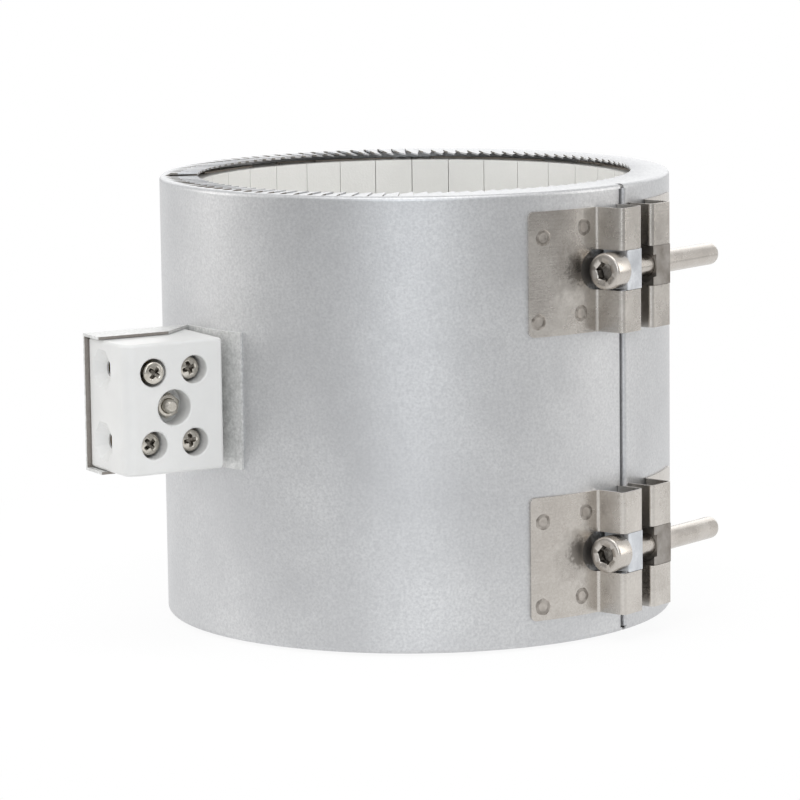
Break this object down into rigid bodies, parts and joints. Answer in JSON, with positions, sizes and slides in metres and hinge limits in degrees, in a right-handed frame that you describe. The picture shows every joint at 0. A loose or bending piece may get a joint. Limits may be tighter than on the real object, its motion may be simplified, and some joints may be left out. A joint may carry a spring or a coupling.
{
  "type": "band heater",
  "caption": "Ceramic band heater with a serrated sheet housing, a tiled bore, two bar clamps and a ceramic terminal block.",
  "frame": {"origin": "middle of the bore, half way between the folded edges", "axes": "+Z along the bore's axis; the gap between the housing's ends is 51.7 degrees from -Y towards +X"},
  "size_m": [0.2296, 0.1888, 0.1647],
  "materials": {
    "housing_sheet": "satin",
    "fibre": "matte",
    "coil_wire": "satin",
    "tile_ceramic": "matte",
    "block_ceramic": "satin",
    "galvanised_sheet": "mottled satin",
    "small_screw_steel": "plated",
    "pole_brass": "satin",
    "strap_steel": "polished",
    "plated_bar": "satin",
    "dark_bar": "satin",
    "screw_steel": "satin"
  },
  "bodies": {
    "band": {"housing": "housing_sheet", "insulation_blanket": "fibre", "heating_coil": "coil_wire", "tile_row_1": "tile_ceramic", "tile_row_2": "tile_ceramic", "tile_row_3": "tile_ceramic", "terminal_bracket": "galvanised_sheet", "terminal_block": "block_ceramic", "fixing_screw": "small_screw_steel", "fixing_nut": "small_screw_steel", "lead_pin_upper": "coil_wire", "lead_pin_lower": "coil_wire", "lead_bush_upper": "tile_ceramic", "lead_bush_lower": "tile_ceramic", "pole_upper": "pole_brass", "pole_lower": "pole_brass", "strap_left_upper": "strap_steel", "strap_right_upper": "strap_steel", "plain_bar_upper": "plated_bar", "threaded_bar_upper": "dark_bar", "strap_left_lower": "strap_steel", "strap_right_lower": "strap_steel", "plain_bar_lower": "plated_bar", "threaded_bar_lower": "dark_bar"},
    "clamp_screw_upper_body": {"clamp_screw_upper": "screw_steel"},
    "clamp_screw_lower_body": {"clamp_screw_lower": "screw_steel"},
    "terminal_screw_1_body": {"terminal_screw_1": "small_screw_steel"},
    "terminal_screw_2_body": {"terminal_screw_2": "small_screw_steel"},
    "terminal_screw_3_body": {"terminal_screw_3": "small_screw_steel"},
    "terminal_screw_4_body": {"terminal_screw_4": "small_screw_steel"}
  },
  "joints": [
    {"name": "clamp_screw_upper_travel", "type": "slide", "parent": "band", "child": "clamp_screw_upper_body", "axis": [-0.6198, -0.7848, 0], "range_m": [0, 0.045]},
    {"name": "clamp_screw_lower_travel", "type": "slide", "parent": "band", "child": "clamp_screw_lower_body", "axis": [-0.6198, -0.7848, 0], "range_m": [0, 0.045]},
    {"name": "terminal_screw_1_travel", "type": "slide", "parent": "band", "child": "terminal_screw_1_body", "axis": [0.4939, -0.8695, 0], "range_m": [0, 0.005]},
    {"name": "terminal_screw_2_travel", "type": "slide", "parent": "band", "child": "terminal_screw_2_body", "axis": [0.4939, -0.8695, 0], "range_m": [-0.005, 0]},
    {"name": "terminal_screw_3_travel", "type": "slide", "parent": "band", "child": "terminal_screw_3_body", "axis": [0.4939, -0.8695, 0], "range_m": [0, 0.005]},
    {"name": "terminal_screw_4_travel", "type": "slide", "parent": "band", "child": "terminal_screw_4_body", "axis": [0.4939, -0.8695, 0], "range_m": [0, 0.005]}
  ]
}
